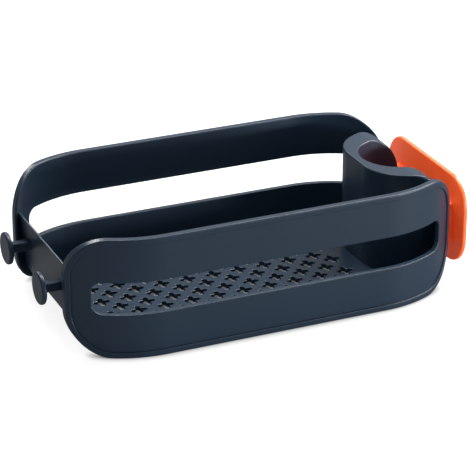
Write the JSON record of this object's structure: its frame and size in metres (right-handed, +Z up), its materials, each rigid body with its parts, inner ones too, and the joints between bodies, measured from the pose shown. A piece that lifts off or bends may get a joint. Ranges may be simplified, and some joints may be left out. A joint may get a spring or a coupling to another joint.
{
  "type": "kitchen sink caddy",
  "caption": "Long open sponge basket with bent side panels, long windows, a pierced drain floor, knob hooks at one end and a clamp plate that holds it to a faucet at the other.",
  "frame": {"origin": "bottom centre of the object's bounding box, on the surface that the basket stands on", "axes": "+X along the basket towards the faucet clamp, +Y towards the back panel, +Z up"},
  "size_m": [0.228, 0.12, 0.063],
  "materials": {
    "slate_plastic": "satin",
    "orange_plastic": "satin"
  },
  "bodies": {
    "caddy": {"front_panel": "slate_plastic", "back_panel": "slate_plastic", "drain_floor": "slate_plastic", "end_wall": "slate_plastic", "front_hook": "slate_plastic", "rear_hook": "slate_plastic", "faucet_saddle": "slate_plastic"},
    "clamp": {"clamp_plate": "orange_plastic"}
  },
  "joints": [
    {"name": "clamp_slide", "type": "slide", "parent": "caddy", "child": "clamp", "axis": [1, 0, 0], "range_m": [0, 0.02]}
  ]
}
